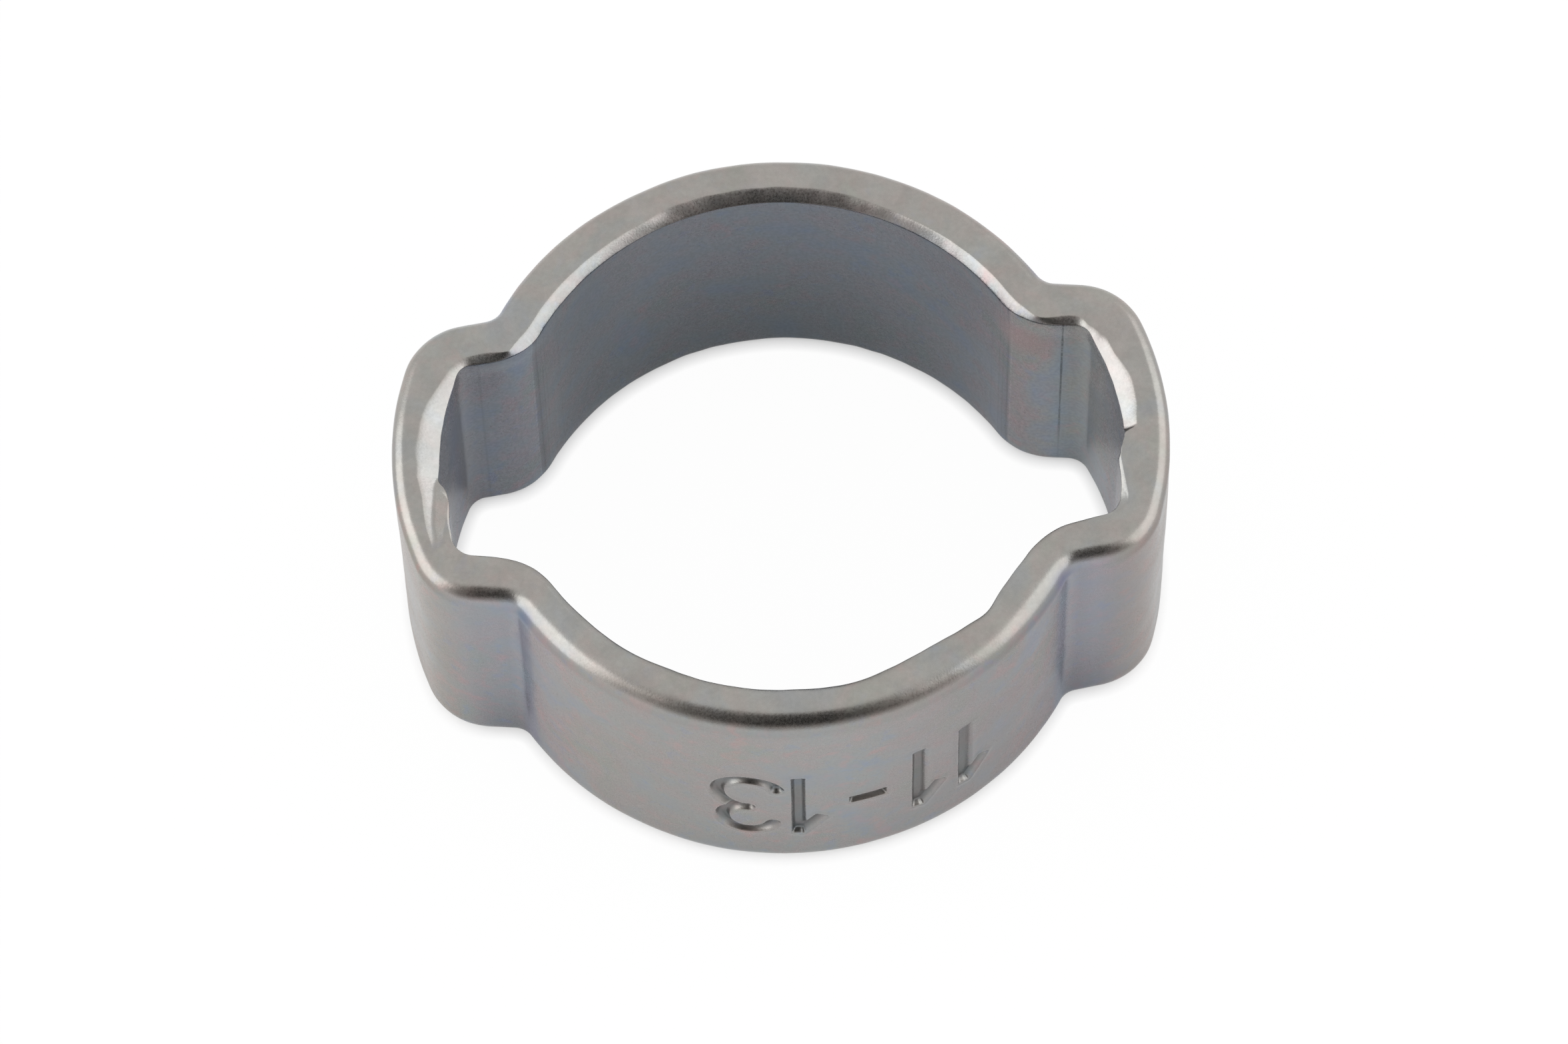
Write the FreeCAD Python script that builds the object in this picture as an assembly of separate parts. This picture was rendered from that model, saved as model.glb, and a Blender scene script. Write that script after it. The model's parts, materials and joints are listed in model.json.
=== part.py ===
import FreeCAD, Part
import math
import os
from FreeCAD import Vector

# Two-ear hose clamp, open, lying on one end face.
# Z runs along the hose and X runs from ear to ear. Lengths are in mm, angles in degrees.

bore_radius = 6.5  # the open band slips over a hose of 13 mm
wall = 1.1  # thickness of the steel
band_width = 7.5  # along the hose
outer_edge = 0.48  # tumbled rounding of the outside edges
inner_edge = 0.28  # tumbled rounding of the rear end's inside edge
inner_bevel = 0.26  # pressed bevel round the front end's inside edge

ear_rise = 1.65  # how far an ear stands out of the band
leg_offset = 3.54  # from the ears' middle plane line to a leg's inner face, square to the leg
leg_taper = 7.6  # each leg leans this much towards the middle plane
foot_radius = 0.53  # outside crease where the band turns out into a leg
corner_radius = 0.57  # inside corner where a leg turns into the crown
crown_radius = 8.05  # outside of the crown

pocket_wall = 1.05  # crown thickness at the deepest point inside
pocket_radius = 6.2  # inside of the crown's rear half
step_start = 0.3  # in front of the middle plane, where the forming step begins
step_length = 0.55  # along the crown
step_height = 0.25  # the crown's front half is this much thicker
coin_width = 0.5  # the bevel widens to this beside the step
coin_radius = 3.34  # curve of the widened bevel's edge
coin_shift = 0.42  # how far behind the pocket's centre the coining tool sat
coin_angle = 40.0  # slope of the widened bevel against the end face

touching = 1e-6  # closer than this is contact
bore_axis = Vector(0, 0, 0)
to_rear = Vector(0, 1, 0)
to_right = Vector(1, 0, 0)
taper = math.radians(leg_taper)
leg_normal = Vector(math.sin(taper), math.cos(taper), 0)
outer_radius = bore_radius + wall
ear_reach = outer_radius + ear_rise
pocket_reach = ear_reach - pocket_wall
land_reach = pocket_reach - step_height
pocket_centre = Vector(pocket_reach - pocket_radius, -step_start, 0)
crown_centre = Vector(ear_reach - crown_radius, 0, 0)


def on_circle(centre, radius, angle):
    return centre + Vector(radius * math.cos(angle), radius * math.sin(angle), 0)


def arc(centre, radius, start, end):
    middle = on_circle(centre, radius, (start + end) / 2)
    return Part.Arc(on_circle(centre, radius, start), middle, on_circle(centre, radius, end)).toShape()


def mirrored(edges, normal):
    """The same edges on the other side of a plane through the bore's axis."""
    return [edge.mirror(bore_axis, normal) for edge in edges]


def foot():
    """Centre of the outside crease, and the angle at which the band's arc ends there."""
    distance = outer_radius + foot_radius
    angle = math.asin((leg_offset + wall + foot_radius) / distance) - taper
    return on_circle(bore_axis, distance, angle), angle


def corner(centre, radius, offset, rounding):
    """Centre of the rounding between a leg face and a crown arc, and the angle where it ends."""
    reach = radius - rounding
    below = offset - rounding - leg_normal.dot(centre)
    angle = math.asin(below / reach) - taper
    return on_circle(centre, reach, angle), angle


def band_and_foot(radius, crease):
    """The rear right quarter from the top of the band round the foot, and the leg's first point."""
    centre, angle = foot()
    leg_start = centre - leg_normal * crease
    turn_end = math.pi * 3 / 2 - taper
    edges = [arc(bore_axis, radius, math.pi / 2, angle)]
    edges.append(arc(centre, crease, angle + math.pi, turn_end))
    return edges, leg_start


def outer_quarter():
    edges, leg_start = band_and_foot(outer_radius, foot_radius)
    rounding = corner_radius + wall
    centre, angle = corner(crown_centre, crown_radius, leg_offset + wall, rounding)
    edges.append(Part.makeLine(leg_start, centre + leg_normal * rounding))
    edges.append(arc(centre, rounding, math.pi / 2 - taper, angle))
    edges.append(arc(crown_centre, crown_radius, angle, 0))
    return edges


def inner_rear():
    """Inside of the rear right quarter, down to where the forming step begins."""
    edges, leg_start = band_and_foot(bore_radius, foot_radius + wall)
    centre, angle = corner(pocket_centre, pocket_radius, leg_offset, corner_radius)
    edges.append(Part.makeLine(leg_start, centre + leg_normal * corner_radius))
    edges.append(arc(centre, corner_radius, math.pi / 2 - taper, angle))
    edges.append(arc(pocket_centre, pocket_radius, angle, 0))
    return edges


def forming_step():
    """Two equal arcs that lead from the pocket to the flat land in front of it."""
    rounding = (step_length**2 + step_height**2) / (4 * step_height)
    swing = math.asin(step_length / 2 / rounding)
    first = Vector(pocket_reach - rounding, -step_start, 0)
    second = Vector(land_reach + rounding, -step_start - step_length, 0)
    return [arc(first, rounding, 0, -swing), arc(second, rounding, math.pi - swing, math.pi)]


def inner_front():
    """Inside of the front right quarter, from the step's end to the bottom of the band."""
    edges, leg_start = band_and_foot(bore_radius, foot_radius + wall)
    centre_x = land_reach - corner_radius
    centre_y = (leg_offset - corner_radius - centre_x * leg_normal.x) / leg_normal.y
    centre = Vector(centre_x, centre_y, 0)
    edges.append(Part.makeLine(leg_start, centre + leg_normal * corner_radius))
    edges.append(arc(centre, corner_radius, math.pi / 2 - taper, 0))
    land_end = Vector(land_reach, step_start + step_length, 0)
    edges.append(Part.makeLine(Vector(land_reach, centre_y, 0), land_end))
    return mirrored(edges, to_rear)


def closed_face(right_half):
    """A face bounded by the right half and its mirror image."""
    loop = right_half + mirrored(right_half, to_right)
    return Part.Face(Part.Wire(Part.sortEdges(loop)[0]))


def end_edges(solid, height):
    """Edges that lie flat in the end face at one height."""
    flat = [edge for edge in solid.Edges if edge.BoundBox.ZLength < touching]
    return [edge for edge in flat if abs(edge.BoundBox.ZMin - height) < touching]


def rim_edges(solid, hollow, height):
    """Edges of an end face that the hollow cuts."""
    return [edge for edge in end_edges(solid, height) if edge.distToShape(hollow)[0] < touching]


def coining_tool():
    """A cone that widens the bevel of the right ear's rear half towards the forming step."""
    slope = math.tan(math.radians(coin_angle))
    depth = (coin_width + coin_shift) * slope
    centre_x = pocket_reach + coin_width - math.sqrt(coin_radius**2 - coin_shift**2)
    base = Vector(centre_x, pocket_centre.y + coin_shift, band_width - depth)
    cone = Part.makeCone(coin_radius - depth / slope, coin_radius + depth / slope, 2 * depth, base)
    angle = corner(pocket_centre, pocket_radius, leg_offset, corner_radius)[1]
    length = pocket_radius * math.sin(angle)
    keep = Part.makeBox(ear_reach, length, 2 * depth, Vector(pocket_centre.x, pocket_centre.y, base.z))
    return cone.common(keep)


def clamp_band():
    rise = Vector(0, 0, band_width)
    quarter = outer_quarter()
    outline = closed_face(quarter + mirrored(quarter, to_rear)).extrude(rise)
    outline = outline.makeFillet(outer_edge, end_edges(outline, 0) + end_edges(outline, band_width))
    hollow = closed_face(inner_rear() + forming_step() + inner_front()).extrude(rise)
    band = outline.cut(hollow)
    band = band.makeFillet(inner_edge, rim_edges(band, hollow, 0))
    band = band.makeChamfer(inner_bevel, rim_edges(band, hollow, band_width))
    coin = coining_tool()
    band = band.cut(coin)
    return band.cut(coin.mirror(bore_axis, to_right))


os.makedirs("parts", exist_ok=True)
band = clamp_band()
band.exportStep("parts/clamp_band.step")
print("clamp_band", round(band.Volume, 1), "cubic mm, valid:", band.isValid())
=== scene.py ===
# Ear hose clamp: one band of zinc-plated steel, lying open on a pale table.
import json
import math
import bmesh
import bpy
from mathutils import Matrix, Vector, kdtree, noise


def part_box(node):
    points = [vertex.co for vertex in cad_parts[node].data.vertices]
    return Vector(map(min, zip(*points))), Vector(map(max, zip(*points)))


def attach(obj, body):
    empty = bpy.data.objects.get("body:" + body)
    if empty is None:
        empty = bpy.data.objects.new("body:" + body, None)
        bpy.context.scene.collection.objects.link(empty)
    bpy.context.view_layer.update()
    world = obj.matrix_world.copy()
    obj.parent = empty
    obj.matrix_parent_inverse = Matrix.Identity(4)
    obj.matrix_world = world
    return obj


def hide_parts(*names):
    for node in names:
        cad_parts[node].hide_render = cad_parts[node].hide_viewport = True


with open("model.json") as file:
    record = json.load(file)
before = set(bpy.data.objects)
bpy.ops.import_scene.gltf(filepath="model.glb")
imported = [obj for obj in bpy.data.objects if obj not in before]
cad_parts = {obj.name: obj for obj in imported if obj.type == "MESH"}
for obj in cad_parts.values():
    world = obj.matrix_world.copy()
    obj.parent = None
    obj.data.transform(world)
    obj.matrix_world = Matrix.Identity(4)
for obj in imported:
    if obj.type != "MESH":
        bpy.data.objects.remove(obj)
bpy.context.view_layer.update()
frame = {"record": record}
mm = 0.001
bandLow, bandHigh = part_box("clamp_band")
hoseBore = next(m for m in frame["record"]["mounts"] if m["name"] == "hose_bore")
print("frame loaded, band", [round(side / mm, 2) for side in bandHigh - bandLow], "mm")

# Sizes in millimetres and degrees. The first four come from the frame.
band = {
    "boreRadius": hoseBore["dims"]["r_mm"],
    "outerRadius": bandHigh.y / mm,
    "earReach": bandHigh.x / mm,
    "width": bandHigh.z / mm,
    "outerEdge": 0.48,
    "rearInnerEdge": 0.28,
    "frontInnerEdge": 0.012,
    "legOffset": 3.54,
    "legTaper": 7.6,
    "footRadius": 0.53,
    "cornerRadius": 0.57,
    "crownRadius": 8.05,
    "pocketWall": 1.05,
    "pocketRadius": 6.2,
    "stepStart": 0.3,
    "stepLength": 0.55,
    "stepHeight": 0.25,
}
band["wall"] = band["outerRadius"] - band["boreRadius"]
band["pocketReach"] = band["earReach"] - band["pocketWall"]
band["landReach"] = band["pocketReach"] - band["stepHeight"]

# How finely the band is meshed. Edges bent by more than sharpAngle, in radians, get rounded.
# Towards the front end the inner wall's rows lie closer together.
meshing = {
    "steps": {"lobe": 64, "foot": 16, "leg": 8, "corner": 18, "pocket": 26, "step": 6, "land": 14},
    "outerRows": 44,
    "innerRows": 30,
    "outerEdgeSegments": 9,
    "rearInnerEdgeSegments": 6,
    "frontInnerEdgeSegments": 2,
    "frontRimRows": 15,
    "rearRimRows": 3,
    "sharpAngle": 1,
    "pathCuts": 9,
    "frontSpacing": 0.3,
    "earRim": {"across": 6.9, "along": (-2.6, 3.2), "height": 0.6, "crown": 0.3},
    "grooveHeight": 0.02,
}

taper = math.radians(band["legTaper"])
legNormal = Vector((math.sin(taper), math.cos(taper), 0))
boreAxis = Vector((0, 0, 0))
touching = 1e-4  # closer than this is contact


def polar(radius, angle):
    return Vector((radius * math.cos(angle), radius * math.sin(angle), 0))


def spinVert(bm, vert, centre, angle, steps):
    # negative angles turn clockwise, seen from above
    made = bmesh.ops.spin(bm, geom=[vert], cent=centre, axis=(0, 0, 1), angle=angle, steps=steps)
    return next(item for item in made["geom_last"] if isinstance(item, bmesh.types.BMVert))


def runVert(bm, vert, target, steps):
    stride = (target - vert.co) / steps
    for _ in range(steps):
        made = bmesh.ops.extrude_vert_indiv(bm, verts=[vert])
        vert = made["verts"][0]
        bmesh.ops.translate(bm, verts=[vert], vec=stride)
    return vert


def trace(bm, radius, moves):
    # from the middle of the rear lobe along arcs (centre, turn, steps) and runs (target, steps)
    vert = bm.verts.new((0, radius, 0))
    for place, *rest in moves:
        vert = (spinVert if len(rest) == 2 else runVert)(bm, vert, place, *rest)


def cornerCentre(centre, radius, offset, rounding):
    # centre of the rounding between a leg's face and the crown, and the angle where it ends
    reach = radius - rounding
    angle = math.asin((offset - rounding - legNormal.dot(centre)) / reach) - taper
    return centre + polar(reach, angle), angle


def foot():
    distance = band["outerRadius"] + band["footRadius"]
    angle = math.asin((band["legOffset"] + band["wall"] + band["footRadius"]) / distance) - taper
    return polar(distance, angle), angle


def flipY(vector):
    return Vector((vector.x, -vector.y, 0))


def drawOuter(bm):
    # right half of the outside, from the rear lobe's middle round the ear to the front one's
    steps = meshing["steps"]
    centre, angle = foot()
    rounding = band["cornerRadius"] + band["wall"]
    crown = Vector((band["earReach"] - band["crownRadius"], 0, 0))
    offset = band["legOffset"] + band["wall"]
    corner, cornerAngle = cornerCentre(crown, band["crownRadius"], offset, rounding)
    lobeTurn = math.pi / 2 - angle
    footTurn = lobeTurn - taper
    cornerTurn = math.pi / 2 - taper - cornerAngle
    crownSteps = steps["pocket"] + 2 * steps["step"] + steps["land"]
    trace(bm, band["outerRadius"], (
        (boreAxis, -lobeTurn, steps["lobe"]),
        (centre, footTurn, steps["foot"]),
        (corner + legNormal * rounding, steps["leg"]),
        (corner, -cornerTurn, steps["corner"]),
        (crown, -2 * cornerAngle, crownSteps),
        (flipY(corner), -cornerTurn, steps["corner"]),
        (flipY(centre - legNormal * band["footRadius"]), steps["leg"]),
        (flipY(centre), footTurn, steps["foot"]),
        (boreAxis, -lobeTurn, steps["lobe"])))


def drawInner(bm):
    # right half of the inside: pocket behind the forming step, flat land in front of it
    steps = meshing["steps"]
    centre, angle = foot()
    crease = band["footRadius"] + band["wall"]
    rounding = band["cornerRadius"]
    pocket = Vector((band["pocketReach"] - band["pocketRadius"], -band["stepStart"], 0))
    corner, cornerAngle = cornerCentre(pocket, band["pocketRadius"], band["legOffset"], rounding)
    lobeTurn = math.pi / 2 - angle
    footTurn = lobeTurn - taper
    stepRadius = (band["stepLength"] ** 2 + band["stepHeight"] ** 2) / (4 * band["stepHeight"])
    stepTurn = math.asin(band["stepLength"] / 2 / stepRadius)
    stepEnd = band["stepStart"] + band["stepLength"]
    landX = band["landReach"] - rounding
    landY = (band["legOffset"] - rounding - landX * legNormal.x) / legNormal.y
    trace(bm, band["boreRadius"], (
        (boreAxis, -lobeTurn, steps["lobe"]),
        (centre, footTurn, steps["foot"]),
        (corner + legNormal * rounding, steps["leg"]),
        (corner, -(math.pi / 2 - taper - cornerAngle), steps["corner"]),
        (pocket, -cornerAngle, steps["pocket"]),
        (Vector((band["pocketReach"] - stepRadius, -band["stepStart"], 0)), -stepTurn, steps["step"]),
        (Vector((band["landReach"] + stepRadius, -stepEnd, 0)), stepTurn, steps["step"]),
        (Vector((band["landReach"], -landY, 0)), steps["land"]),
        (Vector((landX, -landY, 0)), -(math.pi / 2 - taper), steps["corner"]),
        (flipY(centre - legNormal * crease), steps["leg"]),
        (flipY(centre), footTurn, steps["foot"]),
        (boreAxis, -lobeTurn, steps["lobe"])))


def closeByMirror(bm):
    bmesh.ops.mirror(bm, geom=bm.verts[:] + bm.edges[:], axis="X", merge_dist=touching)
    bmesh.ops.remove_doubles(bm, verts=bm.verts[:], dist=touching)


def outline(draw):
    # a closed loop as a bmesh of its own
    loop = bmesh.new()
    draw(loop)
    closeByMirror(loop)
    mesh = bpy.data.meshes.new("loop")
    loop.to_mesh(mesh)
    loop.free()
    return mesh


def readPath(draw):
    # the right half of an outline in small steps: a tree of its points, and at each the way out
    # of the bore and the place along the outline, from the middle of the rear lobe
    bm = bmesh.new()
    draw(bm)
    bmesh.ops.subdivide_edges(bm, edges=bm.edges[:], cuts=meshing["pathCuts"])
    vert = next(vert for vert in bm.verts if len(vert.link_edges) == 1 and vert.co.y > 0)
    points = [vert.co.copy()]
    edge = None
    while len(vert.link_edges) == 2 or edge is None:
        edge = next(other for other in vert.link_edges if other != edge)
        vert = edge.other_vert(vert)
        points.append(vert.co.copy())
    bm.free()
    tree = kdtree.KDTree(len(points))
    ways, places = [], [0]
    for index, point in enumerate(points):
        tree.insert(point, index)
        run = points[min(index + 1, len(points) - 1)] - points[max(index - 1, 0)]
        ways.append(Vector((-run.y, run.x, 0)).normalized())
        if index:
            places.append(places[-1] + (point - points[index - 1]).length)
    tree.balance()
    return tree, ways, places


def near(path, point):
    # how far out a point lies from an outline, the way out, and the place along the outline
    tree, ways, places = path
    folded = Vector((abs(point.x), point.y, 0))
    spot, index, _ = tree.find(folded)
    way = ways[index].copy()
    distance = (folded - spot).dot(way)
    if point.x < 0:
        way.x = -way.x
    return distance, way, places[index]


def isOutside(point):
    # nearer to the outer loop than to the inner one
    return near(insidePath, point)[0] > -near(outsidePath, point)[0]


def sideOf(point):
    return "left" if point.x < 0 else "right"


def rise(edge):
    return abs(edge.verts[0].co.z - edge.verts[1].co.z)


def liesAt(edge, height):
    # in the end face at one height
    return rise(edge) < touching and abs(edge.verts[0].co.z - height) < touching


def rimEdges(bm, onOutside, height):
    # the sharp edges round one end face
    sharp = [edge for edge in bm.edges
             if liesAt(edge, height) and edge.calc_face_angle(0) > meshing["sharpAngle"]]
    return [edge for edge in sharp if isOutside(edge.verts[0].co) == onOutside]


def wallEdges(bm, onOutside):
    # the long upright edges left between the two roundings
    upright = [edge for edge in bm.edges if rise(edge) > band["width"] / 2]
    return [edge for edge in upright if isOutside(edge.verts[0].co) == onOutside]


def crossEdges(bm, height):
    # the edges that cross one end face from the inner rounding to the outer one
    flat = [edge for edge in bm.edges if liesAt(edge, height)]
    return [edge for edge in flat if isOutside(edge.verts[0].co) != isOutside(edge.verts[1].co)]


def roundRim(bm, onOutside, height, name):
    bmesh.ops.bevel(bm, geom=rimEdges(bm, onOutside, height), offset=band[name], offset_type="OFFSET",
                    segments=meshing[name + "Segments"], profile=0.5, affect="EDGES",
                    clamp_overlap=False, material=-1)


def addRows(bm, edges, count):
    bmesh.ops.subdivide_edges(bm, edges=edges, cuts=count, use_grid_fill=True)


def buildBand():
    bm = bmesh.new()
    bm.from_mesh(outerLoop)
    bm.from_mesh(innerLoop)
    bmesh.ops.bridge_loops(bm, edges=bm.edges[:])
    top = bmesh.ops.extrude_face_region(bm, geom=bm.faces[:], use_keep_orig=True)
    lifted = [item for item in top["geom"] if isinstance(item, bmesh.types.BMVert)]
    bmesh.ops.translate(bm, verts=lifted, vec=(0, 0, band["width"]))
    bmesh.ops.recalc_face_normals(bm, faces=bm.faces[:])
    for height, name in ((0, "rearInnerEdge"), (band["width"], "frontInnerEdge")):
        roundRim(bm, True, height, "outerEdge")
        roundRim(bm, False, height, name)
    addRows(bm, wallEdges(bm, True), meshing["outerRows"])
    addRows(bm, wallEdges(bm, False), meshing["innerRows"])
    addRows(bm, crossEdges(bm, 0), meshing["rearRimRows"])
    addRows(bm, crossEdges(bm, band["width"]), meshing["frontRimRows"])
    return bm


def refine(bm, wanted):
    # halve every edge of the faces that a test picks
    chosen = [face for face in bm.faces if wanted(face.calc_center_median())]
    edges = {edge for face in chosen for edge in face.edges}
    addRows(bm, list(edges), 1)


outerLoop = outline(drawOuter)
innerLoop = outline(drawInner)
insidePath = readPath(drawInner)
outsidePath = readPath(drawOuter)
print("outline", len(outerLoop.vertices), "points outside,", len(innerLoop.vertices), "inside")
bandMesh = buildBand()
print("band mesh", len(bandMesh.faces), "faces, volume", round(bandMesh.calc_volume(), 1), "cubic mm")


# Front end face. Places count in mm along the inside edge, from the middle of the rear lobe to
# the middle of the front one. Listed by place are the outer rounding (here by Y), the bevel's
# depth and widths, the lip over the inside edge, and the small bevel in front of the step.
rim = {
    "reach": 1.6,
    "rounding": ((-6, 0.56), (-4.2, 0.54), (-2.4, 0.36), (2.8, 0.33), (4.6, 0.3)),
    "bevelRows": 8,
    "leastRow": 0.05,
    "lastRow": 0.14,
    "lastRun": 1.6,
    "uneven": 0.1,
    "unevenPace": 1.6,
    "lipSpread": 3,
    "lipHeight": (0.9, 0.1),
    "deep": ((0, 0.21), (2.5, 0.23), (4, 0.25), (6.9, 0.25), (7.6, 0.16), (8, 0.13), (8.4, 0.12),
             (8.75, 0.1), (8.95, 0.09), (9.2, 0.12), (9.6, 0.19), (10.5, 0.23), (12.3, 0.23)),
    "right": ((0, 0.31), (1, 0.33), (1.9, 0.29), (2.5, 0.235), (3.4, 0.2), (6.7, 0.2), (7.15, 0.16),
              (7.5, 0.11), (7.75, 0.09), (8.05, 0.13), (8.35, 0.17), (8.65, 0.16), (8.87, 0.09),
              (9.15, 0.14), (9.4, 0.22), (9.85, 0.235), (10.2, 0.31), (10.6, 0.38), (11.1, 0.36),
              (11.78, 0.28), (12.15, 0.27), (12.35, 0)),
    "left": ((0, 0.31), (1.5, 0.33), (2.4, 0.3), (2.8, 0.25), (3.3, 0.225), (5, 0.23), (6.4, 0.245),
             (7, 0.23), (7.35, 0.17), (7.65, 0.1), (7.85, 0.14), (8.15, 0.19), (8.6, 0.17),
             (8.95, 0.17), (9.25, 0.23), (9.5, 0.29), (9.75, 0.365), (10, 0.43), (10.4, 0.47),
             (11.1, 0.53), (11.78, 0.51), (11.95, 0.5), (12.15, 0)),
    "lipRight": ((0, 0.02), (6.3, 0.03), (7.3, 0.05), (7.7, 0.08), (8.8, 0.06), (9.4, 0.07),
                 (11.5, 0.06), (11.9, 0.03), (12.2, -0.09), (12.45, -0.07), (12.7, 0), (13.3, 0),
                 (13.75, 0.04), (14.2, 0)),
    "lipLeft": ((0, 0.02), (6.3, 0.03), (7.3, 0.05), (7.7, 0.07), (8.4, 0.06), (8.9, 0.03),
                (9.4, 0.05), (11.5, 0.05), (11.95, 0), (12.25, -0.05), (12.6, 0)),
    "frontRight": ((12.3, 0), (12.55, 0.06), (13, 0.1), (13.5, 0.15), (13.8, 0.17), (14, 0.12),
                   (14.2, 0.02), (14.8, 0.1), (16, 0.17), (23.2, 0.17)),
    "frontLeft": ((12.3, 0), (12.6, 0.07), (13.2, 0.07), (13.6, 0.04), (14.1, 0.02), (14.8, 0.1),
                  (16, 0.17), (23.2, 0.17)),
}

# How far the inside of the front lobe strays outwards from its true line, at the same places.
sway = {
    "right": ((13.6, 0), (14.5, 0.01), (15.5, 0.06), (16.25, 0.085), (17.2, 0.005), (17.8, 0.04),
              (18.35, 0.13), (18.9, 0.055), (19.7, -0.01), (20.4, -0.025), (21.1, 0.02),
              (21.75, 0.075), (22.5, 0.07), (23.2, 0.04)),
    "left": ((13.2, 0), (14, -0.04), (14.75, -0.06), (15.4, -0.01), (16, 0.035), (16.6, 0.075),
             (17.6, 0.065), (18.9, 0.075), (20.1, 0.035), (21.4, 0.045), (23.2, 0.04)),
}

# On the right ear the wide bevel ends at a steep shoulder. On the left ear it runs on in front
# of the step as a groove, from a border to the slope up to the land. Both lines are given along Y
# and in from the crown's outside.
press = {
    "across": 7,
    "along": (-2.6, 0.1),
    "earEnd": 14.2,
    "leanEnd": 14,
    "shoulder": (-0.46, 1.055),
    "shoulderSkew": 0.64,
    "shoulderSlope": 52,
    "border": ((-2.5, 0.5), (-2.2, 0.5), (-1.7, 0.525), (-1.3, 0.565), (-0.9, 0.6), (-0.7, 0.59),
               (-0.3, 0.54)),
    "land": ((-2.5, 0.42), (-2.1, 0.8), (-1.7, 0.99), (-1.3, 1.18), (-0.9, 1.4), (-0.56, 1.68),
             (-0.3, 2.1)),
    "landSlope": 13,
    "leastWidth": 0.01,
    "steepening": 0.25,
    "softness": 0.045,
    "blend": 0.015,
    "lean": {"land": 0.5, "lobe": 0.55},
    "mask": {"drop": (0, 0.05), "fall": (0.12, 0.02), "clear": (-0.03, 0.03)},
}


def between(low, high, value):
    # eases from 0 at low to 1 at high
    share = min(max((value - low) / (high - low), 0), 1)
    return share * share * (3 - 2 * share)


def follow(pairs, place):
    # smooth reading of a list of (place, value)
    place = min(max(place, pairs[0][0]), pairs[-1][0])
    index = max(step for step in range(len(pairs) - 1) if pairs[step][0] <= place)
    (low, first), (high, second) = pairs[index:index + 2]
    before, after = pairs[max(index - 1, 0)], pairs[min(index + 2, len(pairs) - 1)]
    span = high - low
    lean = (second - before[1]) / (high - before[0]) * span
    nextLean = (after[1] - first) / (after[0] - low) * span
    share = (place - low) / span
    gain = second - first
    bend = 3 * gain - 2 * lean - nextLean
    twist = lean + nextLean - 2 * gain
    return first + share * (lean + share * (bend + share * twist))


def softMin(first, second, softness):
    blend = max(softness - abs(first - second), 0) / softness
    return min(first, second) - blend * blend * softness / 4


def crownDepth(point):
    # how far in from the crown's outside, along X
    crownX = band["earReach"] - band["crownRadius"]
    return crownX + math.sqrt(max(band["crownRadius"] ** 2 - point.y ** 2, 0)) - abs(point.x)


def bevelDrop(inward, width, deep):
    # how deep the bevel lies at a distance in from its border; it steepens towards the wall
    inward = math.hypot(max(inward, 0), press["blend"]) - press["blend"]
    width = max(width, press["leastWidth"])
    steepening = press["steepening"]
    return deep * inward / width * (1 - steepening + steepening * inward / width)


def bevelWidth(place, side):
    width = max(follow(rim[side], place), 0)
    return width * (1 + rim["uneven"] * noise.noise(Vector((place * rim["unevenPace"], 0, 0))))


def smallWidth(place, side):
    return max(follow(rim["front" + side.capitalize()], place), 0)


def bevelStop(point, side, crown):
    # how deep the bevel may lie before the shoulder, or the slope up to the land, ends it
    if side == "left":
        return (follow(press["land"], point.y) - crown) * math.tan(math.radians(press["landSlope"]))
    shoulder = press["shoulder"][0] + press["shoulderSkew"] * (press["shoulder"][1] - crown)
    return (point.y - shoulder) * math.tan(math.radians(press["shoulderSlope"]))


def pressedDepth(point, depth, place, side):
    # how deep the front end is pressed in at a point, and how far that is from what ends it
    width = bevelWidth(place, side)
    deep = follow(rim["deep"], place)
    drop = bevelDrop(width - depth, width, deep)
    clear = 1 if place < press["earEnd"] else -1
    low, high = press["along"]
    if abs(point.x) > press["across"] and low < point.y < high:
        crown = crownDepth(point)
        if side == "left" and point.y < -band["stepStart"]:
            drop = bevelDrop(crown - follow(press["border"], point.y), rim["left"][-2][1], deep)
        stop = bevelStop(point, side, crown)
        clear = stop - drop
        drop = softMin(drop, stop, press["softness"])
    small = smallWidth(place, side)
    lean = press["lean"]["land" if place < press["leanEnd"] else "lobe"]
    return max(drop, bevelDrop(small - depth, small, small * lean), 0), clear


def stretch(value, old, new, far):
    # maps 0 to old onto 0 to new, and the rest up to far onto what is left
    return value * new / old if value < old else new + (value - old) * (far - new) / (far - old)


def rowWidth(place, side):
    # how far in the rows of the bevel reach; they run on evenly past the forming step
    last = rim[side][-3][0]
    if place < last:
        return max(bevelWidth(place, side), rim["leastRow"])
    start = bevelWidth(last, side)
    end = max(smallWidth(place, side), rim["lastRow"])
    return start + (end - start) * between(last, last + rim["lastRun"], place)


def frontVerts(bm):
    # points near the front end, how far below it they lie, and where
    for vert in bm.verts:
        fall = band["width"] - vert.co.z
        if fall <= rim["reach"]:
            yield vert, fall, sideOf(vert.co), *near(insidePath, vert.co)


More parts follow.
